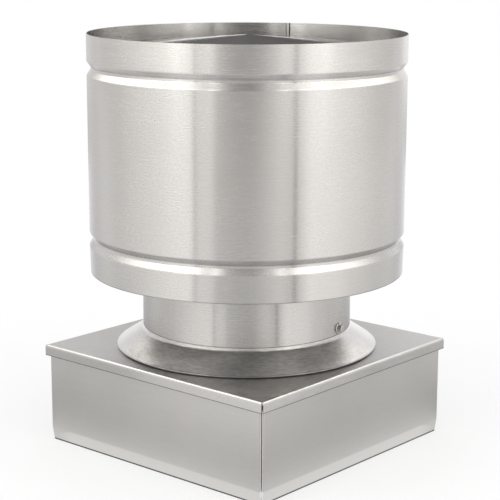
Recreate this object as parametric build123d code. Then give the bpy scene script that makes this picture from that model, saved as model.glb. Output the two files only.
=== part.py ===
from build123d import *
import os
from math import asin, atan, cos, degrees, radians, sin, tan

# A chimney cowl folded, rolled and spun from thin stainless steel sheet.
# A square skirt slips over the top of the flue and carries a folded lid. A spun collar on the lid
# leads into a round stem. The stem carries a wide open drum on four brackets, and a shallow cap on
# four legs that keeps the rain off the flue. The origin is at the middle of the skirt's bottom edge.

# Driving dimensions, in millimetres and degrees
sheet = 0.8             # thickness of every folded, rolled or spun sheet
strap = 1.2             # thickness of the brackets and legs
fit_gap = 0.3           # clearance where one curved sheet lies against another

base_side = 342.0       # skirt, outside of its walls
base_height = 121.0     # bottom edge of the skirt to the top face of the lid
band_height = 15.5      # bottom band of the skirt, which leans in
band_tuck = 1.7         # how far the bottom edge lies behind the walls
band_gap = 3.0          # width of the open corner of the band at its bottom edge
crease_bend = 25.0      # outside radius of the soft crease above the band
side_bend = 2.6         # outside radius of the two bent corners
seam_bend = 1.6         # outside radius where a wall turns in at a seamed corner
seam_turn = 135.0       # angle of that fold
seam_flange = 12.0      # how far a wall turns in at a seamed corner
seam_gap = 0.3          # space between the two flanges of a seam
seam_relief = 6.0       # how far under the lid those flanges end, clear of the flue tile
relief_radius = 1.1     # round relief hole at the top of the band's open corner
top_flange = 20.0       # flange of the skirt that lies under the lid
top_bend = 2.0          # outside radius of that flange's fold

lid_gap = 3.7           # space between the skirt and the lid's folded edge
lid_drop = 13.0         # height of the lid's folded edge
lid_bend = 3.6          # outside radius of its fold
lid_corner = 2.6        # outside radius of its upright corners
lid_slot = 1.2          # width of the open corners of the lid
lid_lip = 2.0           # how far the lid reaches inside the collar's foot

stem_diameter = 254.0   # outside
stem_reach = 130.0      # how far the stem stands up inside the drum
collar_height = 26.4    # lid to the bottom edge of the stem
collar_slope = 32.5     # cone of the collar, from the horizontal
shoulder_bend = 6.0     # outside radius where the collar's neck turns into its cone
foot_bend = 1.2         # outside radius of the fold at the collar's foot
foot_flange = 14.0      # how far the foot turns in under the cone
neck_length = 30.0      # how far the collar's neck goes up inside the stem

shell_diameter = 381.0  # drum, outside
shell_height = 284.5
shell_lift = 94.5       # lid to the bottom edge of the drum
groove_inset = 40.5     # middle of a groove to the nearer end of the drum
groove_width = 17.0
groove_depth = 4.8
groove_floor = 3.0      # width of its flat floor
groove_lip = 3.0        # outside radius of its lips
groove_root = 1.5       # outside radius at its floor
edge_tuck = 0.8         # how far the drum draws in from its lower groove to its bottom edge
lap_width = 5.0         # overlap of the drum's seam
lap_direction = 24.8    # where the seam is, anticlockwise from +X

cap_diameter = 258.0
cap_rise = 11.0         # height of its cone
cap_drop = 2.2          # its point lies this far under the top edge of the drum
cap_rim = 12.0          # its turned down rim
cap_bend = 2.5          # outside radius of the fold into the rim

strap_directions = (45.0, 135.0, 225.0, 315.0)
strap_width = 26.0
strap_bend = 3.0        # outside radius of the folds in the brackets and legs
strap_arc = 30.0        # part of a turned section that a strap is cut from, in degrees
bracket_rise = 16.0     # arm of a bracket above the drum's lower groove
bracket_tab = 28.0      # height of a bracket's two tabs
leg_tab = 30.0          # part of a leg that lies against the stem
leg_rivet_drop = 15.0   # leg rivets under the top edge of the stem

rivet_radius = 2.0
rivet_head_radius = 4.0
rivet_head_height = 1.4
rivet_tail_radius = 3.1
rivet_tail_height = 2.4
rivet_pitch = 14.0      # distance between the two rivets of a tab
hole_gap = 0.15         # clearance round a rivet or screw
tail_gap = 0.1          # between a rivet's tail and the curve of the sheet
drill_reach = 15.0      # how far a hole is drilled to each side of the sheet it goes through

screw_directions = (280.5, 100.5)
screw_height = 8.0      # screws above the bottom edge of the stem
screw_radius = 2.1
screw_length = 11.0     # under the washer, point included
screw_point = 3.0
screw_washer_radius = 6.8
screw_washer_height = 1.2
screw_hex = 8.0         # across flats
screw_hex_height = 4.6
screw_hex_chamfer = 0.5

# Sizes and heights that follow from them
half_base = base_side / 2
crease_turn = degrees(atan(band_tuck / band_height))
seam_low = band_height + crease_bend * tan(radians(crease_turn / 2))
seam_reach = seam_bend * tan(radians(seam_turn / 2)) + seam_gap
lid_side = base_side + 2 * (lid_gap + sheet)
lid_under = base_height - sheet
stem_radius = stem_diameter / 2
stem_inside = stem_radius - sheet
stem_bottom = base_height + collar_height
neck_radius = stem_inside - fit_gap
neck_inside = neck_radius - sheet
neck_top = stem_bottom + neck_length
shell_radius = shell_diameter / 2
shell_inside = shell_radius - sheet
shell_bottom = base_height + shell_lift
shell_top = shell_bottom + shell_height
stem_top = shell_bottom + stem_reach
cap_radius = cap_diameter / 2
cap_inside = cap_radius - sheet
cap_top = shell_top - cap_drop
cap_edge = cap_top - cap_rise
cap_bottom = cap_edge - cap_rim
shoulder_drop = shoulder_bend * tan(radians((90 - collar_slope) / 2))
cone_top = collar_height - shoulder_drop
foot_corner = neck_radius + cone_top / tan(radians(collar_slope))
foot_radius = foot_corner - foot_bend / tan(radians(collar_slope / 2)) + foot_bend
foot_inside = foot_radius - foot_flange
bracket_arm = shell_bottom + groove_inset + groove_width / 2 + bracket_rise
bracket_rivet_height = bracket_arm - bracket_tab / 2 - strap_bend / 2
leg_rivet_height = stem_top - leg_rivet_drop
cap_rivet_height = cap_bottom + (cap_rim - cap_bend) / 2


def bent_section(points, radii, thickness, side=Side.RIGHT):
    """Section of a bent sheet: the line of one of its faces, thickened to one side."""
    face_line = FilletPolyline(*points, radius=radii)
    return make_face(offset(face_line, amount=thickness, side=side))


def turned(section, arc=360.0):
    """A section of radius and height, turned about the upright axis, centred on +X."""
    return Rot(0, 0, -arc / 2) * revolve(Plane.XZ * section, Axis.Z, arc)


def at(direction, part):
    """A part made on the +X side, turned to a direction."""
    return Rot(0, 0, direction) * part


def radial_hole(radius, wall_radius, height):
    """A round bar along +X, which cuts a hole through a wall of that radius."""
    bar = extrude(Plane.YZ * Circle(radius + hole_gap), 2 * drill_reach)
    return Pos(wall_radius - drill_reach, 0, height) * bar


def twin_angles(radius):
    """Directions of two rivets, side by side on a tab at this radius."""
    swing = degrees(asin(rivet_pitch / 2 / radius))
    return (-swing, swing)


def skirt_outline(side, bend, height):
    """Plan of the skirt: two bent corners, and two that stay sharp for the seams."""
    square = Rectangle(side, side)
    bent = [corner for corner in square.vertices() if corner.X * corner.Y < 0]
    return Pos(0, 0, height) * fillet(bent, bend)


def skirt_block(inset, top):
    """The skirt's outer or inner form as a solid block."""
    bend = side_bend - inset
    low = skirt_outline(base_side - 2 * (band_tuck + inset), bend, 0)
    crease = skirt_outline(base_side - 2 * inset, bend, band_height)
    block = loft([low, crease], ruled=True) + extrude(crease, top - band_height)
    crease_edges = [
        edge for edge in block.edges()
        if edge.bounding_box().size.Z < sheet and abs(edge.center().Z - band_height) < sheet
    ]
    block = fillet(crease_edges, crease_bend - inset)
    return fillet(block.edges().group_by(Axis.Z)[-1], top_bend - inset)


def corner_plane():
    """Upright plane across the near seamed corner, facing the middle of the skirt."""
    return Plane(origin=(-half_base, -half_base, 0), x_dir=(-1, 1, 0), z_dir=(1, 1, 0))


def seam_cut():
    """What is taken away at the near seamed corner before the flanges are added."""
    tall = lid_under - seam_low
    square = Pos(-half_base, -half_base, seam_low + tall / 2) * Box(2 * seam_reach, 2 * seam_reach, tall)
    slit = Pos(0, lid_under / 2) * Rectangle(seam_gap, lid_under + 2 * sheet)
    notch = Polygon((-band_gap / 2, 0), (band_gap / 2, 0), (0, seam_low), align=None)
    relief = Pos(0, seam_low) * Circle(relief_radius)
    deep = 2 * top_flange
    front = corner_plane().offset(-2 * band_gap)
    open_corner = extrude(front * (slit + notch), deep)
    return square + open_corner + extrude(front * relief, 4 * band_gap)


def seam_flange_piece():
    """Wall end that turns in along the diagonal at the near corner, on the -X side."""
    shift = seam_gap / 2 ** 0.5
    turn_in = (seam_flange + seam_bend) / 2 ** 0.5
    points = [
        (-half_base, -half_base + seam_reach),
        (-half_base, -half_base + shift),
        (-half_base + turn_in, -half_base + shift + turn_in),
    ]
    section = bent_section(points, [seam_bend], sheet, Side.LEFT)
    return Pos(0, 0, seam_low) * extrude(section, lid_under - seam_relief - seam_low)


def skirt_halves():
    """Two bent halves that meet at the near and far corners, with flanges turned in there."""
    window = Box(base_side - 2 * top_flange, base_side - 2 * top_flange, 3 * sheet)
    ring = skirt_block(0, lid_under) - skirt_block(sheet, lid_under - sheet)
    ring -= Pos(0, 0, lid_under) * window
    ring -= seam_cut()
    ring -= Rot(0, 0, 180) * seam_cut()
    mirror_line = Plane(origin=(0, 0, 0), z_dir=(1, -1, 0))
    flange = seam_flange_piece()
    other = mirror(flange, about=mirror_line)
    left, right = ring.solids().sort_by(Axis.X)
    left_half = left + flange + Rot(0, 0, 180) * other
    right_half = right + other + Rot(0, 0, 180) * flange
    return left_half, right_half


def lid_block(inset):
    """The lid's outer or inner form as a solid block with rounded top and corners."""
    side = lid_side - 2 * inset
    block = Pos(0, 0, base_height - lid_drop / 2) * Box(side, side, lid_drop)
    block = fillet(block.faces().sort_by(Axis.Z)[-1].edges(), lid_bend - inset)
    corner_edges = [
        edge for edge in block.edges()
        if abs(abs(edge.center().X) - abs(edge.center().Y)) < sheet
    ]
    return fillet(corner_edges, lid_corner - inset)


def lid():
    """Square tray with open corners and a round hole under the collar."""
    tray = lid_block(0) - Pos(0, 0, -sheet) * lid_block(sheet)
    slot_length = 4 * lid_bend
    slot = Box(slot_length, lid_slot, 2 * lid_drop)
    for direction in strap_directions:
        corner = (lid_side / 2 - lid_bend) * 2 ** 0.5 + slot_length / 2
        tray -= at(direction, Pos(corner, 0, base_height - lid_drop) * slot)
    hole = Cylinder(foot_inside - lid_lip, 4 * sheet)
    return tray - Pos(0, 0, base_height) * hole


def collar():
    """Spun cone: a foot that folds in on the lid and a neck that goes up inside the stem."""
    points = [
        (neck_radius, neck_top),
        (neck_radius, base_height + cone_top),
        (foot_corner, base_height),
        (foot_inside, base_height),
    ]
    section = bent_section(points, [shoulder_bend, foot_bend], sheet)
    return turned(section) - screw_holes()


def stem():
    """Plain rolled tube, with holes for the screws below and the rivets above."""
    height = stem_top - stem_bottom
    wall = Pos(stem_radius - sheet / 2, stem_bottom + height / 2) * Rectangle(sheet, height)
    return turned(wall) - screw_holes() - bracket_holes() - leg_holes()


def groove(middle):
    """Face line of one groove, from its lower lip to its upper lip."""
    depth = shell_radius - groove_depth
    return [
        (shell_radius, middle - groove_width / 2),
        (depth, middle - groove_floor / 2),
        (depth, middle + groove_floor / 2),
        (shell_radius, middle + groove_width / 2),
    ]


def shell():
    """Rolled drum with two inward grooves, and a second layer of sheet along its lap seam."""
    low = groove(shell_bottom + groove_inset)
    high = groove(shell_top - groove_inset)
    ends = (shell_radius - edge_tuck, shell_bottom), (shell_radius, shell_top)
    points = [ends[0], *low, *high, ends[1]]
    radii = [groove_lip, groove_root, groove_root, groove_lip] * 2
    single = bent_section(points, radii, sheet, Side.LEFT)
    double = bent_section(points, radii, 2 * sheet, Side.LEFT)
    lap = degrees(lap_width / shell_radius)
    opposite = lap_direction + 180
    return at(opposite, turned(single, 360 - lap)) + at(lap_direction, turned(double, lap))


def cap():
    """Shallow cone with a turned down rim, spun from one disc."""
    slope = cap_rise / cap_radius
    points = [(-cap_rim, cap_top + slope * cap_rim), (cap_radius, cap_edge), (cap_radius, cap_bottom)]
    section = bent_section(points, [cap_bend], sheet)
    right_side = Pos(shell_radius, cap_top) * Rectangle(2 * shell_radius, 2 * shell_radius)
    return turned(section & right_side) - cap_holes()


def strap_blank(section):
    """A bent strap: part of a turned section, trimmed to the strap's width."""
    block = Pos(shell_radius / 2, 0, shell_bottom) * Box(shell_radius, strap_width, 4 * shell_height)
    return turned(section, strap_arc) & block


def bracket():
    """Strap from the outside of the stem to the inside of the drum."""
    inner = stem_radius + fit_gap
    outer = shell_inside - fit_gap - strap
    points = [
        (inner, bracket_arm - bracket_tab),
        (inner, bracket_arm),
        (outer, bracket_arm),
        (outer, bracket_arm + bracket_tab),
    ]
    section = bent_section(points, [strap_bend, strap_bend - strap], strap)
    return strap_blank(section) - bracket_holes_here()


def cap_leg():
    """Strap from the inside of the stem to the inside of the cap's rim."""
    inner = stem_inside - fit_gap
    outer = cap_inside - fit_gap
    points = [
        (inner, stem_top - leg_tab),
        (inner, stem_top + leg_tab / 2),
        (outer, cap_bottom - leg_tab / 2),
        (outer, cap_edge - cap_bend - sheet),
    ]
    section = bent_section(points, [strap_bend, strap_bend], strap, Side.LEFT)
    return strap_blank(section) - leg_holes_here() - cap_hole_here()


def bracket_holes_here():
    """Holes of the two rivets of the bracket on the +X side."""
    hole = radial_hole(rivet_radius, stem_radius, bracket_rivet_height)
    return [at(swing, hole) for swing in twin_angles(stem_radius)]


def leg_holes_here():
    """Holes of the two rivets of the leg on the +X side."""
    hole = radial_hole(rivet_radius, stem_radius, leg_rivet_height)
    return [at(swing, hole) for swing in twin_angles(stem_radius)]


def cap_hole_here():
    """Hole of the rivet through the cap's rim on the +X side."""
    return radial_hole(rivet_radius, cap_radius, cap_rivet_height)


def bracket_holes():
    return [at(way, hole) for way in strap_directions for hole in bracket_holes_here()]


def leg_holes():
    return [at(way, hole) for way in strap_directions for hole in leg_holes_here()]


def cap_holes():
    return [at(way, cap_hole_here()) for way in strap_directions]


def screw_holes():
    hole = radial_hole(screw_radius, stem_radius, stem_bottom + screw_height)
    return [at(way, hole) for way in screw_directions]


def rivet(head_seat, tail_seat, height):
    """Blind rivet along +X, with its domed head outside and its bulged tail inside."""
    seat = head_seat
    end = tail_seat - rivet_tail_height
    dome_radius = (rivet_head_radius**2 + rivet_head_height**2) / (2 * rivet_head_height)
    half_turn = asin(rivet_head_radius / dome_radius) / 2
    middle = seat + rivet_head_height - dome_radius * (1 - cos(half_turn))
    dome = ThreePointArc(
        (seat, rivet_head_radius),
        (middle, dome_radius * sin(half_turn)),
        (seat + rivet_head_height, 0),
    )
    rest = Polyline(
        (seat + rivet_head_height, 0),
        (end, 0),
        (end, rivet_radius),
        (end + rivet_tail_height / 2, rivet_tail_radius),
        (tail_seat, rivet_tail_radius),
        (tail_seat, rivet_radius),
        (seat, rivet_radius),
        (seat, rivet_head_radius),
    )
    return Pos(0, 0, height) * revolve(make_face(dome + rest), Axis.X)


def neck_screw():
    """Hexagon head screw with a wide washer face, through the stem into the neck."""
    seat = stem_radius
    washer = extrude(Plane.YZ * Circle(screw_washer_radius), screw_washer_height)
    washer = chamfer(washer.edges().group_by(Axis.X)[-1], screw_washer_height / 2)
    head = Pos(screw_washer_height, 0, 0) * extrude(
        Plane.YZ * RegularPolygon(screw_hex / 2, 6, major_radius=False), screw_hex_height
    )
    head = chamfer(head.edges().group_by(Axis.X)[-1], screw_hex_chamfer)
    shank = extrude(Plane.YZ * Circle(screw_radius), -(screw_length - screw_point))
    tip = Pos(-(screw_length - screw_point / 2), 0, 0) * (
        Rot(0, -90, 0) * Cone(screw_radius, screw_radius / 6, screw_point)
    )
    return Pos(seat, 0, stem_bottom + screw_height) * (washer + head + shank + tip)


def save(name, part):
    export_step(part, f"parts/{name}.step")


os.makedirs("parts", exist_ok=True)

left_half, right_half = skirt_halves()
save("skirt_left_half", left_half)
save("skirt_right_half", right_half)
save("base_lid", lid())
save("cone_collar", collar())
save("stem", stem())
save("outer_shell", shell())
save("inner_cap", cap())

# Each bracket and leg has its own rivets
tab_face = stem_radius + fit_gap + strap
leg_face = stem_inside - fit_gap - strap
bracket_rivet = rivet(tab_face, stem_inside - tail_gap, bracket_rivet_height)
leg_rivet = rivet(stem_radius, leg_face - tail_gap, leg_rivet_height)
cap_rivet = rivet(cap_radius, cap_inside - fit_gap - strap - tail_gap, cap_rivet_height)
for number, way in enumerate(strap_directions, start=1):
    save(f"shell_bracket_{number}", at(way, bracket()))
    save(f"cap_leg_{number}", at(way, cap_leg()))
    save(f"cap_rivet_{number}", at(way, cap_rivet))
    for letter, swing in zip("ab", twin_angles(stem_radius)):
        save(f"bracket_rivet_{number}{letter}", at(way + swing, bracket_rivet))
        save(f"leg_rivet_{number}{letter}", at(way + swing, leg_rivet))

for number, way in enumerate(screw_directions, start=1):
    save(f"neck_screw_{number}", at(way, neck_screw()))
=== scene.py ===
# %% [markdown]
# # A chimney cowl in brushed stainless steel
# The real object is folded, rolled and spun from thin sheet: a square skirt that slips over a flue,
# a folded lid, a spun cone, a round stem, and a wide open drum round a shallow rain cap.
# Its solids are exact already, so this lesson keeps them and is about what makes sheet steel look
# like steel: the direction of its brushed lines, and the studio that it reflects.

# %% Load the solids
import math

import bmesh
import bpy
from mathutils import Matrix, Vector


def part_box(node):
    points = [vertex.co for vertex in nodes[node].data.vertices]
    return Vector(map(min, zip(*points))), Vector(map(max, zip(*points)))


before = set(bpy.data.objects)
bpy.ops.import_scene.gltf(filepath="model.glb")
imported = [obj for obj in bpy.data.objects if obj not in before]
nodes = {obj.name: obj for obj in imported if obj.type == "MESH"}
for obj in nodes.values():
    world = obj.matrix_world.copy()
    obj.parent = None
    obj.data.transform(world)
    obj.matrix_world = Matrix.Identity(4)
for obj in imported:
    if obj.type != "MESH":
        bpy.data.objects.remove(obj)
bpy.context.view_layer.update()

# %% [markdown]
# ## Where things are
# Every length below is in metres. The heights and radii that the finishes follow come from the
# solids' own boxes, so a change of size in the solids moves the finishes with it. All round pieces
# share the upright axis at the origin.

# %% Heights and radii
drum_low, drum_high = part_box("outer_shell")
stem_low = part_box("stem")[0]
lid_low, lid_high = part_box("base_lid")
skirt_low, skirt_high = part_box("skirt_left_half")
half_base = skirt_high.x
foot_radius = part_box("cone_collar")[1].x
print("drum's diameter in mm:", round(2000 * drum_high.x, 1))
print("width of the base in mm:", round(2000 * half_base, 1))

# %% [markdown]
# ## A way to write shader maths
# A material is a graph of nodes, and maths in it is easier to read as an expression than as a list
# of links. The class Wire holds the output of a node, and each operator on it adds a Math node.
# Every other node comes from one method of Graph, which takes its type, settings and sockets.


# %% Wire: an output that does arithmetic
class Wire:
    """The output of a shader node. Arithmetic on it adds Math nodes."""

    def __init__(self, graph, socket):
        self.graph = graph
        self.socket = socket

    def math(self, operation, *others):
        """A Math node that takes this value first, then the others."""
        return self.graph.node("Math", {"operation": operation}, dict(enumerate((self, *others))))

    def __add__(self, other):
        return self.math("ADD", other)

    def __sub__(self, other):
        return self.math("SUBTRACT", other)

    def __rsub__(self, other):
        return self.graph.node("Math", {"operation": "SUBTRACT"}, {0: other, 1: self})

    def __mul__(self, other):
        return self.math("MULTIPLY", other)

    __radd__ = __add__
    __rmul__ = __mul__

    def size(self):
        """The value without its sign."""
        return self.math("ABSOLUTE")

    def above(self, low, high):
        """0 under low, 1 over high, with a smooth step between."""
        settings = {"interpolation_type": "SMOOTHSTEP"}
        return self.graph.node("MapRange", settings, {0: self, 1: low, 2: high, 3: 0.0, 4: 1.0})

    def below(self, low, high):
        """1 under low, 0 over high, with a smooth step between."""
        return 1 - self.above(low, high)

    def between(self, start, full, fading, gone):
        """1 from full to fading, 0 under start and over gone."""
        return self.above(start, full) * self.below(fading, gone)

    def near(self, middle, core, edge):
        """1 within core of the middle, 0 further from it than edge."""
        return (self - middle).size().below(core, edge)


# %% Graph: one method that adds any node
class Graph:
    """The nodes of one material, or of the world."""

    def __init__(self, owner):
        owner.use_nodes = True
        self.tree = owner.node_tree
        self.tree.nodes.clear()

    def node(self, kind, settings=None, sockets=None, output=0):
        """Adds a node, sets its settings, then its sockets, and returns one of its outputs."""
        made = self.tree.nodes.new("ShaderNode" + kind)
        for name, value in (settings or {}).items():
            setattr(made, name, value)
        for key, value in (sockets or {}).items():
            if isinstance(value, Wire):
                self.tree.links.new(value.socket, made.inputs[key])
            else:
                made.inputs[key].default_value = value
        return Wire(self, made.outputs[output]) if made.outputs else None


# %% [markdown]
# ## The camera
# The photograph was taken from a little above and from the corner side, with a long lens. The camera
# stands where a fit to the cowl's own edges puts it, so the outlines fall in the same places.

# %% Camera
camera_place = Vector((-1.35389, -1.17652, 0.62102))
camera_heading = math.radians(-49.135)
camera_dip = math.radians(12.107)
camera_roll = math.radians(0.18)
camera = bpy.data.objects.new("camera", bpy.data.cameras.new("camera"))
camera.data.lens = 108.13
camera.data.sensor_width = 36.0
camera.matrix_world = (
    Matrix.Translation(camera_place)
    @ Matrix.Rotation(camera_heading, 4, "Z")
    @ Matrix.Rotation(math.pi / 2 - camera_dip, 4, "X")
    @ Matrix.Rotation(camera_roll, 4, "Z")
)
bpy.context.scene.collection.objects.link(camera)
bpy.context.scene.camera = camera
camera_side = math.atan2(camera_place.y, camera_place.x)
print("camera to the axis, in metres:", round(camera_place.to_2d().length, 3))

# %% [markdown]
# ## The white room
# The photograph's ground is pure white. The world is white to the camera and to reflections, and a
# little dimmer as a light on the floor, so that the floor's paper keeps the cowl's shadow.

# %% White room
white = (1.0, 1.0, 1.0, 1.0)
room_level = 0.8
world = bpy.data.worlds.new("studio")
bpy.context.scene.world = world
room = Graph(world)
seen = room.node("LightPath", output="Is Camera Ray")
for ray in ("Is Glossy Ray", "Is Transmission Ray"):
    seen = seen.math("MAXIMUM", room.node("LightPath", output=ray))
strength = room_level + (1 - room_level) * seen
background = room.node("Background", {}, {"Color": white, "Strength": strength})
room.node("OutputWorld", {}, {"Surface": background})
print("white room, level of its light:", room_level)

# %% [markdown]
# ## Colours and places in a material
# Colours go through Mix and Vector Math, because a Math node would turn them grey. Places are those
# on the object itself, so that a finish stays where it is when the object is seen from elsewhere.


# %% Helpers for colours and places
def mixed_colour(graph, factor, low, high):
    """A colour between low and high."""
    return graph.node("Mix", {"data_type": "RGBA"}, {0: factor, 6: low, 7: high}, 2)


def scaled_colour(graph, colour, factor):
    """A colour made darker or lighter."""
    parts = colour if isinstance(colour, Wire) else colour[:3]
    return graph.node("VectorMath", {"operation": "SCALE"}, {0: parts, "Scale": factor})


def coordinates(graph):
    """Place on the object, in metres, whole and as x, y and z."""
    place = graph.node("TexCoord", output="Object")
    parts = [graph.node("SeparateXYZ", {}, {0: place}, axis) for axis in "XYZ"]
    return place, parts


def turn_of(x, y):
    """The direction of a place from the axis, in degrees, counted from x towards y."""
    return y.math("ARCTAN2", x) * math.degrees(1)


def counted_from(side, x, y):
    """A place in level axes that are turned to a side: how far towards it, and how far across."""
    towards = x * math.cos(side) + y * math.sin(side)
    across = y * math.cos(side) - x * math.sin(side)
    return towards, across


# %% [markdown]
# ## The paper wall
# Steel has hardly any colour of its own. What is seen on it is the room. A paper wall stands round
# the set, and only reflections see it, so it can be near. A few lamps could light it, but the drum
# shows every soft edge of them as an upright stripe, so it is simpler to say how bright the wall is
# at each turn. Turns are counted from the camera's side, and are positive to its right. Each part of
# the cowl reflects its own heights of the wall, so the wall's parts follow one by one.


# %% Round the set: two soft fields and two posts
def level_round(turn):
    """Brightness by turn alone: bright fields left and right, and two posts as thin dark lines."""
    left = 0 - turn
    level = 0.75
    steps = (
        (left, 2, 17, 0.11),
        (left, 17.5, 23, 0.38),
        (left, 33.5, 35.5, 0.28),
        (left, 36, 42, -0.07),
        (left, 42, 105, -0.4),
        (left, 105, 150, -0.25),
        (turn, 0, 22, 0.38),
        (turn, 31.5, 41, 0.4),
        (turn, 41, 48, -0.07),
        (turn, 48, 110, -0.44),
        (turn, 110, 150, -0.2),
    )
    for side, start, full, change in steps:
        level = level + change * side.above(start, full)
    posts = ((-32, 0.4, 1.2, 0.6), (29.7, 0.7, 1.5, 0.7))
    for middle, core, edge, depth in posts:
        level = level - depth * turn.near(middle, core, edge)
    return level


# %% High up: what the inside of the drum reflects
def level_inside(turn, height):
    """Brighter fields with four stripes, higher than the drum's top edge."""
    fields = (1.2 + 0.4 * (0 - turn).above(20, 45)) * turn.size().above(20, 45)
    for stripe in (-46, -22, 25, 51):
        fields = fields + 1.5 * turn.near(stripe, 2, 6)
    high = height.between(0.55, 0.75, 0.9, 1.1)
    return (1 + 0.15 * height.above(0.35, 0.9)) * (1 + fields * high)


# %% In front: what the middle of drum and stem reflects
def level_ahead(turn, height):
    """Dimmer high up on the camera's side, lighter lower down, and the dark foot of a post."""
    ahead = turn.size().below(6, 22)
    high = 1 - 0.45 * ahead * height.above(0.3, 0.5)
    low = 1 + 0.14 * ahead * height.between(0.12, 0.2, 0.35, 0.45)
    foot = 1 - 0.2 * turn.near(28, 3, 7) * height.below(0.06, 0.12)
    return high * low * foot


# %% At the sides: what the drum's left and right edges reflect
def level_sides(turn, height):
    """Dimmer high at both sides and low at the left, lighter towards the back."""
    high_side = turn.size().between(38, 70, 105, 120) * height.between(0.33, 0.42, 0.5, 0.6)
    low_left = (0 - turn).between(45, 60, 90, 105) * height.below(0.45, 0.55)
    limb = turn.size().between(90, 115, 138, 150) * height.below(0.45, 0.55)
    return (1 - 0.25 * high_side) * (1 - 0.06 * low_left) * (1 + 0.18 * limb)


# %% At the back: what the lid and the cone reflect
def level_back(turn, height):
    """Bright near the floor, lighter beside the middle of the back, and dark high up."""
    low_back = turn.size().above(125, 160) * height.below(0.22, 0.27)
    flank = turn.size().between(118, 138, 158, 170) * height.below(0.55, 0.65)
    right = turn.above(0, 1)
    rise = 0.1 + 0.04 * right + (0.2 + 0.4 * right) * height.above(0.3, 0.42)
    high_back = turn.size().above(145, 165) * height.above(0.4, 0.6)
    return (1 + 0.8 * low_back) * (1 + flank * rise) * (1 - 0.8 * high_back)


def glints(turn, height):
    """Two bright strips at the back, level with the drum's top edge, which the cap reflects."""
    left_glint = (0 - turn).above(145, 165) * height.between(0.5, 0.52, 0.545, 0.565)
    right_glint = turn.above(145, 165) * height.between(0.5, 0.515, 0.53, 0.55)
    return 2.4 * left_glint + 1.6 * right_glint


# %% The whole wall, and the ceiling
def wall_level(turn, height):
    """Brightness of the wall at a turn in degrees and a height in metres."""
    level = level_round(turn) * (0.93 + 0.07 * height.above(0.05, 0.25))
    for share in (level_inside, level_ahead, level_sides, level_back):
        level = level * share(turn, height)
    return level + glints(turn, height)


def ceiling_level(turn, height):
    """The ceiling is dim, and lighter to the right. All of it is at one height."""
    return 0.38 + 0.2 * turn.above(40, 90)


# %% Things that only reflections see
warm_paper = (1.0, 0.985, 0.965, 1)
cool_paper = (0.985, 0.98, 1.0, 1)


def mesh_of(name, maker, **sizes):
    """A mesh from one of the makers of bmesh."""
    shape = bmesh.new()
    maker(shape, **sizes)
    mesh = bpy.data.meshes.new(name)
    shape.to_mesh(mesh)
    shape.free()
    return mesh


def reflected_only(name, mesh, height, level):
    """Places a glowing stage piece round the axis. The function level gives its brightness."""
    paint = bpy.data.materials.new(name)
    graph = Graph(paint)
    x, y, z = coordinates(graph)[1]
    turn = turn_of(x, y)
    cool = turn.size().above(85, 150) * (z + height).below(0.35, 0.55)
    tint = mixed_colour(graph, cool, warm_paper, cool_paper)
    tint = scaled_colour(graph, tint, level(turn, z + height))
    glow = graph.node("Emission", {}, {"Color": tint, "Strength": 1.0})
    graph.node("OutputMaterial", {}, {"Surface": glow})
    mesh.materials.append(paint)
    piece = bpy.data.objects.new(name, mesh)
    piece.location.z = height
    piece.rotation_euler.z = camera_side
    piece.visible_camera = False
    piece.visible_diffuse = False
    piece.visible_shadow = False
    bpy.context.scene.collection.objects.link(piece)
    print(name + ":", len(graph.tree.nodes), "nodes")


# %% Paper wall and ceiling
wall_radius = 0.75
wall_height = 2.0
wall_mesh = mesh_of(
    "paper_wall",
    bmesh.ops.create_cone,
    cap_ends=False,
    segments=128,
    radius1=wall_radius,
    radius2=wall_radius,
    depth=wall_height,
)
reflected_only("paper_wall", wall_mesh, wall_height / 2, wall_level)
ceiling_mesh = mesh_of("ceiling", bmesh.ops.create_circle, cap_ends=True, segments=64, radius=wall_radius)
reflected_only("ceiling", ceiling_mesh, wall_height, ceiling_level)

# %% [markdown]
# ## Soft lamps
# Three large lamps light the floor and make the cowl's soft shadow on it. Reflections don't see
# them, because the wall gives the steel all that it mirrors.


# %% Soft lamps
def soft_lamp(name, turn, distance, height, width, level):
    """A square lamp that faces the origin and is level times as bright as white paper."""
    angle = camera_side + math.radians(turn)
    light = bpy.data.lights.new(name, "AREA")
    light.shape = "RECTANGLE"
    light.size = width
    light.size_y = width
    light.energy = level * math.pi * width * width
    lamp = bpy.data.objects.new(name, light)
    lamp.location = (distance * math.cos(angle), distance * math.sin(angle), height)
    lamp.rotation_mode = "QUATERNION"
    lamp.rotation_quaternion = (-lamp.location).to_track_quat("-Z", "Y")
    lamp.visible_glossy = False
    bpy.context.scene.collection.objects.link(lamp)
    print(name + ":", round(light.energy, 2), "watts")


soft_lamp("left_lamp", turn=-55, distance=2.4, height=1.6, width=1.4, level=1.6)
soft_lamp("right_lamp", turn=55, distance=2.4, height=1.6, width=1.4, level=1.4)
soft_lamp("top_lamp", turn=0, distance=0.3, height=2.6, width=1.6, level=1.4)

# %% [markdown]
# ## The floor
# The floor is a plain pale disc. Near the cowl it takes its shadow, and further out it glows as
# white as the room, so that no edge shows where the disc ends. Reflections see it darker or lighter
# by its distance from the skirt, and in front of the cowl they see the wall's fields run on in it.

# %% Floor
floor_radius = 6.0
floor_mesh = mesh_of("floor", bmesh.ops.create_circle, cap_ends=True, segments=96, radius=floor_radius)
floor = bpy.data.objects.new("floor", floor_mesh)
bpy.context.scene.collection.objects.link(floor)
print("floor's radius in metres:", floor_radius)

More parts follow.
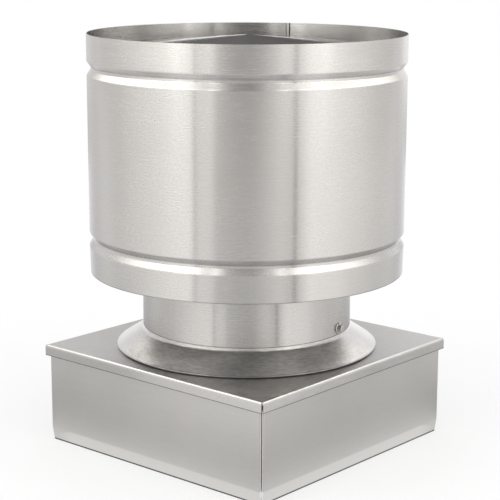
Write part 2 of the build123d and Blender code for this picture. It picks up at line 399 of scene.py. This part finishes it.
# %% The floor's paint
least_glow = 0.5
floor_paint = bpy.data.materials.new("floor_paint")
graph = Graph(floor_paint)
place, (x, y, z) = coordinates(graph)
distance = graph.node("VectorMath", {"operation": "LENGTH"}, {0: place}, "Value")
clear = x.size().math("MAXIMUM", y.size()) - half_base
lit = 0.93 + 0.35 * clear.below(0.03, 0.06) - 0.22 * clear.below(0.15, 0.35)
lit = lit - 0.16 * clear.between(0.06, 0.09, 0.13, 0.18)
turn = turn_of(*counted_from(camera_side, x, y))
ahead = distance.above(0.33, 0.4) * turn.size().below(60, 75)
lit = lit * (1 - ahead) + wall_level(turn, 0 * turn) * ahead
reflected = graph.node("LightPath", output="Is Glossy Ray")
paper = graph.node("BsdfDiffuse", {}, {"Color": white})
glow_colour = scaled_colour(graph, white, 1.0 + reflected * (lit - 1.0))
glow = graph.node("Emission", {}, {"Color": glow_colour, "Strength": 1.0})
share = distance.above(0.3, 0.8).math("MAXIMUM", least_glow).math("MAXIMUM", reflected)
surface = graph.node("MixShader", {}, {0: share, 1: paper, 2: glow})
graph.node("OutputMaterial", {}, {"Surface": surface})
floor_mesh.materials.append(floor_paint)
print("floor's paint:", len(graph.tree.nodes), "nodes")

# %% [markdown]
# ## Brushed sheet
# Brushing leaves fine lines that all run one way. On the rolled and spun pieces they run round the
# axis, and on the walls level, so a slice at one height meets one line everywhere. Noise that is
# stretched far along x and y and is fine along z gives just that, with no seam. The lines spread a
# reflection across themselves, which the shader's anisotropy does. Where the brush tore the surface
# the reflection is rougher, so a second, rough steel is mixed in by the same noise.


# %% Helpers of the finishes
def noise(graph, place, stretch, detail, roughness, shift):
    """Noise about 0 that is finer along the axes where stretch, in features a metre, is larger."""
    shifts = (shift, shift, shift)
    scaled = graph.node("VectorMath", {"operation": "MULTIPLY_ADD"}, {0: place, 1: stretch, 2: shifts})
    sockets = {"Vector": scaled, "Scale": 1.0, "Detail": detail, "Roughness": roughness}
    return graph.node("TexNoise", {}, sockets) - 0.5


def bump(graph, relief):
    """A normal from a relief in metres."""
    return graph.node("Bump", {}, {"Strength": 1.0, "Distance": 1.0, "Height": relief})


# %% The brushed finish
steel_warm = (0.56, 0.54, 0.52, 1)
steel_cool = (0.545, 0.545, 0.53, 1)
steel_dark = (0.47, 0.46, 0.445, 1)
torn_roughness = 0.45
torn_whitening = 0.1
quarter_turn = 0.25


def brushed_sheet(
    name, lines, dashes, rough, spread, depths, marks=None, edge=1.0, coarse=0.2, streak=1.0, mottle=3.0
):
    """Brushed stainless steel.

    lines and dashes stretch its noise, and depths are those of lines, dashes and waves in metres.
    rough and spread shape its reflection, and edge is its level at a grazing angle. coarse is the
    share of torn steel, which mottle makes patchy. streak is the strength of the lines' colour, and
    marks adds what is seen on that piece alone.
    """
    material = bpy.data.materials.new(name)
    graph = Graph(material)
    place, axes = coordinates(graph)
    line = noise(graph, place, lines, 4.0, 0.7, 0.0)
    dash = noise(graph, place, dashes, 3.0, 0.65, 7.0)
    cloud = noise(graph, place, (7, 7, 7), 3.0, 0.55, 3.0)
    stain = noise(graph, place, (24, 24, 9), 2.0, 0.5, 5.0)
    wave = noise(graph, place, (9, 9, 6), 1.0, 0.5, 11.0)
    light = mixed_colour(graph, 0.5 + 1.6 * stain, steel_warm, steel_cool)
    tint = mixed_colour(graph, 0.5 + streak * (0.9 * line + 0.8 * dash) + 0.5 * cloud, steel_dark, light)
    roughness = rough + 0.08 * line + 0.08 * cloud
    if marks:
        tint, roughness = marks(graph, place, axes, tint, roughness)
    line_depth, dash_depth, wave_depth = depths
    relief = line * line_depth + dash * dash_depth + wave * wave_depth
    both = {"Metallic": 1.0, "Normal": bump(graph, relief), "Specular Tint": (edge, edge, edge, 1)}
    brushed = {"Base Color": tint, "Roughness": roughness}
    brushed |= {"Anisotropic": spread, "Anisotropic Rotation": quarter_turn}
    torn = {"Base Color": mixed_colour(graph, torn_whitening, tint, white), "Roughness": torn_roughness}
    brushed_steel = graph.node("BsdfPrincipled", {}, both | brushed)
    torn_steel = graph.node("BsdfPrincipled", {}, both | torn)
    share = coarse * (1 + 2.2 * dash + mottle * cloud + 2.2 * line)
    surface = graph.node("MixShader", {}, {0: share, 1: brushed_steel, 2: torn_steel})
    graph.node("OutputMaterial", {}, {"Surface": surface})
    print(name + ":", len(graph.tree.nodes), "nodes")
    return material


# %% [markdown]
# ## The drum
# The drum is rolled from one sheet, and its ends lap. Through the open top the lap shows inside as
# two dark lines, one of them fainter. The step of one sheet is in the solid, but it is too thin to
# shade as dark as that, so the finish paints the lines on as shade. The direction of the surface
# tells the inside from the outside. A painted dark line of shade runs along the lower edge too.

# %% The drum's marks
black = (0.02, 0.02, 0.02, 1)
seam_shade_lines = ((25.45, -1.5, 0.6), (24.1, 0.6, 0.95))


def edge_shade_line(z, height, wide):
    """1 on a line of painted shade along an edge at that height, 0 away from it."""
    return z.near(height, 0.4 * wide, wide)


def drum_marks(graph, place, axes, tint, roughness):
    """Painted shade along the lap inside, a painted line of shade at the lower edge, and an inside that
    is a little smoother.
    """
    x, y, z = axes
    normal = graph.node("NewGeometry", output="Normal")
    outward = graph.node("VectorMath", {"operation": "DOT_PRODUCT"}, {0: normal, 1: place}, "Value")
    inside = outward.below(-0.02, 0.0)
    turn = turn_of(x, y)
    # Painted shade: two dark lines where the lap's edges would shade the inside.
    for middle, lean, strength in seam_shade_lines:
        seam = (turn - lean * (z - drum_high.z)).near(middle, 0.13, 0.33)
        tint = mixed_colour(graph, strength * inside * seam, tint, black)
    # Painted shade: a dark line along the drum's lower edge.
    tint = mixed_colour(graph, 0.5 * edge_shade_line(z, drum_low.z, 0.0012), tint, black)
    return tint, roughness - 0.05 * inside


# %% The drum's steel
rolled = {"lines": (12.0, 12.0, 500.0), "dashes": (90.0, 90.0, 550.0)}
tube = {"rough": 0.235, "spread": 1.0, "depths": (0.00001, 0.00001, 0.0002)}
drum_steel = brushed_sheet(
    "drum_steel", **rolled, **tube, marks=drum_marks, edge=0.7, coarse=0.2, streak=0.25
)

# %% [markdown]
# ## The stem
# The stem is a tube of the same rolled sheet, in the shade of the drum. Its lower edge stands on
# the cone, and a narrow band at that height paints a dark line of shade there.


# %% The stem's marks and steel
def stem_marks(graph, place, axes, tint, roughness):
    """A painted line of shade at the lower edge, where it stands on the cone."""
    return mixed_colour(graph, 0.8 * edge_shade_line(axes[2], stem_low.z, 0.001), tint, black), roughness


stem_steel = brushed_sheet(
    "stem_steel", **rolled, **tube, marks=stem_marks, edge=0.6, coarse=0.22, streak=0.4
)

# %% [markdown]
# ## The cone
# The cone is spun on a lathe, so its lines are deeper than the drum's and run round it. Towards the
# corner that the photograph shows, it has smears and scratches, and a painted dark line of shade
# where its folded foot turns in on the lid. The marks are counted from that side of the object and
# stay on it.

# %% The cone's marks and steel
# The side where the smears and the painted shade are strongest.
smear_and_shade_side = math.radians(-139)


def cone_marks(graph, place, axes, tint, roughness):
    """Smears, scratches and the foot's painted line of shade, all strongest on one side."""
    x, y, z = axes
    marked_side = counted_from(smear_and_shade_side, x, y)[0].above(0.02, 0.1)
    smear = noise(graph, place, (30.0, 30.0, 90.0), 2.0, 0.5, 21.0)
    scratch = noise(graph, place, (130.0, 130.0, 800.0), 2.0, 0.5, 23.0)
    tint = scaled_colour(graph, tint, 1 + (0.1 + marked_side) * (0.7 * smear + 0.7 * scratch))
    # Painted shade: a dark line at the foot, where it turns in on the lid.
    foot = z.below(lid_high.z + 0.001, lid_high.z + 0.0035)
    return mixed_colour(graph, 0.85 * foot * marked_side, tint, black), roughness


spun_steel = brushed_sheet(
    "spun_steel",
    lines=(40.0, 40.0, 1100.0),
    dashes=(120.0, 120.0, 900.0),
    rough=0.3,
    spread=0.5,
    depths=(0.00003, 0.00003, 0.0006),
    marks=cone_marks,
    coarse=0.3,
    streak=1.5,
    mottle=5.0,
)

# %% [markdown]
# ## The rain cap
# The cap is spun finer than the cone, and the photograph shows it dark with a bright outline. Plain
# steel comes out too light there, so painted shade darkens this steel, apart from where it is seen at
# a grazing angle, which Layer Weight gives. A low edge level keeps it from lighting up just before
# its outline. This is a choice for the looks, and a baked copy of the cap may be dark all over.


# %% The cap's marks and steel
def cap_marks(graph, place, axes, tint, roughness):
    """Painted shade over the sheet, apart from its outline."""
    outline = graph.node("LayerWeight", {}, {"Blend": 0.5}, "Facing").above(0.76, 0.86)
    # Painted shade: darker colour except at a grazing angle.
    return mixed_colour(graph, 0.6 * (1 - outline), tint, black), roughness


cap_steel = brushed_sheet(
    "cap_steel",
    lines=(30.0, 30.0, 1400.0),
    dashes=(120.0, 120.0, 900.0),
    rough=0.15,
    spread=0.6,
    depths=(0.00001, 0.00001, 0.0001),
    marks=cap_marks,
    edge=0.45,
    coarse=0.05,
)

# %% [markdown]
# ## The lid
# The lid is a flat sheet with four folded edges and open corners. Its top is smeared and scratched
# like the cone, with painted shade near the cone's foot and towards its sides. The folds get a
# painted highlight as light lines, the open corners painted shade as dark slots, and the lower edge
# a painted line of shade. The top is brushed along x, so here the noise is fine along y and z.

# %% The lid's marks
fold_highlight_colour = (0.95, 0.95, 0.94, 1)


def lid_corner_shade(x, y):
    """1 in the open slot at each corner of the lid, where shade is painted."""
    beside = (x.size() - y.size()).size()
    inward = lid_high.x - x.size().math("MINIMUM", y.size())
    return beside.below(0.0012, 0.0018) * inward.below(0.003, 0.004)


def lid_marks(graph, place, axes, tint, roughness):
    """The fold's painted highlight, painted shade near the cone and at the sides, smears, painted shade
    in the open corners and a painted line of shade at the lower edge.
    """
    x, y, z = axes
    top = lid_high.z
    towards, across = counted_from(smear_and_shade_side, x, y)
    # Painted highlight: a light line along the folded edge.
    fold = z.between(top - 0.0022, top - 0.0012, top - 0.0004, top - 0.0001)
    tint = mixed_colour(graph, 0.35 * fold, tint, fold_highlight_colour)
    flat_place = graph.node("VectorMath", {"operation": "MULTIPLY"}, {0: place, 1: (1, 1, 0)})
    from_axis = graph.node("VectorMath", {"operation": "LENGTH"}, {0: flat_place}, "Value")
    # Painted shade: a dark band on the lid round the cone's foot.
    foot_ring_shade = towards.above(0.02, 0.1) * from_axis.near(foot_radius, 0.0, 0.008)
    tint = mixed_colour(graph, 0.4 * foot_ring_shade, tint, black)
    smear = noise(graph, place, (22.0, 22.0, 22.0), 3.0, 0.6, 27.0)
    scratch = noise(graph, place, (80.0, 350.0, 350.0), 2.0, 0.5, 29.0)
    marked_side = z.above(top - 0.002, top - 0.0003) * (0.1 + towards.above(0.06, 0.16))
    tint = scaled_colour(graph, tint, 1 + marked_side * (0.9 * smear + 0.5 * scratch))
    # Painted shade: the lid's colour is darker towards its two sides.
    tint = scaled_colour(graph, tint, 1 - 0.14 * across.size().above(0.1, 0.16))
    # Painted shade: the open corners are dark slots.
    tint = mixed_colour(graph, 0.95 * lid_corner_shade(x, y), tint, black)
    # Painted shade: a dark line along the lid's lower edge.
    return mixed_colour(graph, 0.7 * edge_shade_line(z, lid_low.z, 0.0012), tint, black), roughness


# %% The lid's steel
lid_steel = brushed_sheet(
    "lid_steel",
    lines=(40.0, 400.0, 400.0),
    dashes=(100.0, 500.0, 500.0),
    rough=0.34,
    spread=0.0,
    depths=(0.00002, 0.00002, 0.0004),
    marks=lid_marks,
    coarse=0.2,
    streak=1.5,
    mottle=5.0,
)

# %% [markdown]
# ## The skirt
# The skirt's two bent halves meet at the near and the far corner. The band at the bottom was pressed
# in a brake, so it is smoother, and a painted reflection makes it lighter than the walls, dying away
# towards the bent corners. Under the lid's edge the walls get painted shade as a dark gap, and the
# edges where the halves meet get a painted highlight.

# %% The skirt's marks and steel
band_reflection_colour = (0.72, 0.71, 0.69, 1)
seam_edge_highlight = (0.85, 0.85, 0.84, 1)


def wall_marks(graph, place, axes, tint, roughness):
    """Painted reflection on the band, painted shade under the lid, painted highlights on the halves'
    edges and a painted line of shade at the lower edge.
    """
    x, y, z = axes
    to_bent_corner = 2 * half_base - (x - y).size()
    whole = to_bent_corner.above(0.0, 0.04)
    band_top = 0.008 + 0.0075 * whole
    band = whole * (z - band_top).below(-0.001, 0.001)
    # Painted reflection: the band is lighter, as for the bright floor it faces.
    tint = mixed_colour(graph, 0.45 * band, tint, band_reflection_colour)
    # Painted shade: the walls are dark under the lid's edge.
    tint = mixed_colour(graph, 0.95 * z.above(lid_low.z + 0.0005, lid_low.z + 0.001), tint, black)
    from_corner = x.math("MAXIMUM", y) - skirt_low.x
    # Painted highlight: light edges where the two halves meet.
    tint = mixed_colour(graph, 0.6 * from_corner.below(0.0022, 0.0032), tint, seam_edge_highlight)
    # Painted shade: a dark line along the skirt's lower edge, where it stands on the floor.
    return mixed_colour(graph, 0.95 * edge_shade_line(z, skirt_low.z, 0.0024), tint, black), roughness


wall_steel = brushed_sheet(
    "wall_steel",
    **rolled,
    rough=0.36,
    spread=0.6,
    depths=(0.00001, 0.00001, 0.0008),
    marks=wall_marks,
    coarse=0.1,
    streak=0.5,
)

# %% [markdown]
# ## Straps and fasteners
# The brackets and legs are small bent straps, and the screws and rivets are smaller still. At this
# size no direction of brushing shows on them, so the same finish is used with even noise.

# %% The straps' and fasteners' steel
strap_steel = brushed_sheet(
    "strap_steel",
    lines=(60.0, 60.0, 60.0),
    dashes=(60.0, 60.0, 60.0),
    rough=0.4,
    spread=0.0,
    depths=(0.00001, 0.0, 0.0001),
)
fastener_steel = brushed_sheet(
    "fastener_steel",
    lines=(90.0, 90.0, 90.0),
    dashes=(90.0, 90.0, 90.0),
    rough=0.25,
    spread=0.0,
    depths=(0.00001, 0.0, 0.0),
    coarse=0.1,
)

# %% [markdown]
# ## Each solid gets its finish
# The start of a solid's name says which piece it belongs to. What has no finish of its own in the
# list is a screw or a rivet.

# %% Give each solid its finish
finishes = {
    "outer_shell": drum_steel,
    "stem": stem_steel,
    "skirt": wall_steel,
    "base_lid": lid_steel,
    "cone_collar": spun_steel,
    "inner_cap": cap_steel,
    "shell_bracket": strap_steel,
    "cap_leg": strap_steel,
}
for name, solid in nodes.items():
    finish = next((steel for start, steel in finishes.items() if name.startswith(start)), fastener_steel)
    solid.data.materials.clear()
    solid.data.materials.append(finish)
print("finished solids:", len(nodes))

# %% [markdown]
# ## The end

# %% Colour view
bpy.context.scene.view_settings.view_transform = "Standard"
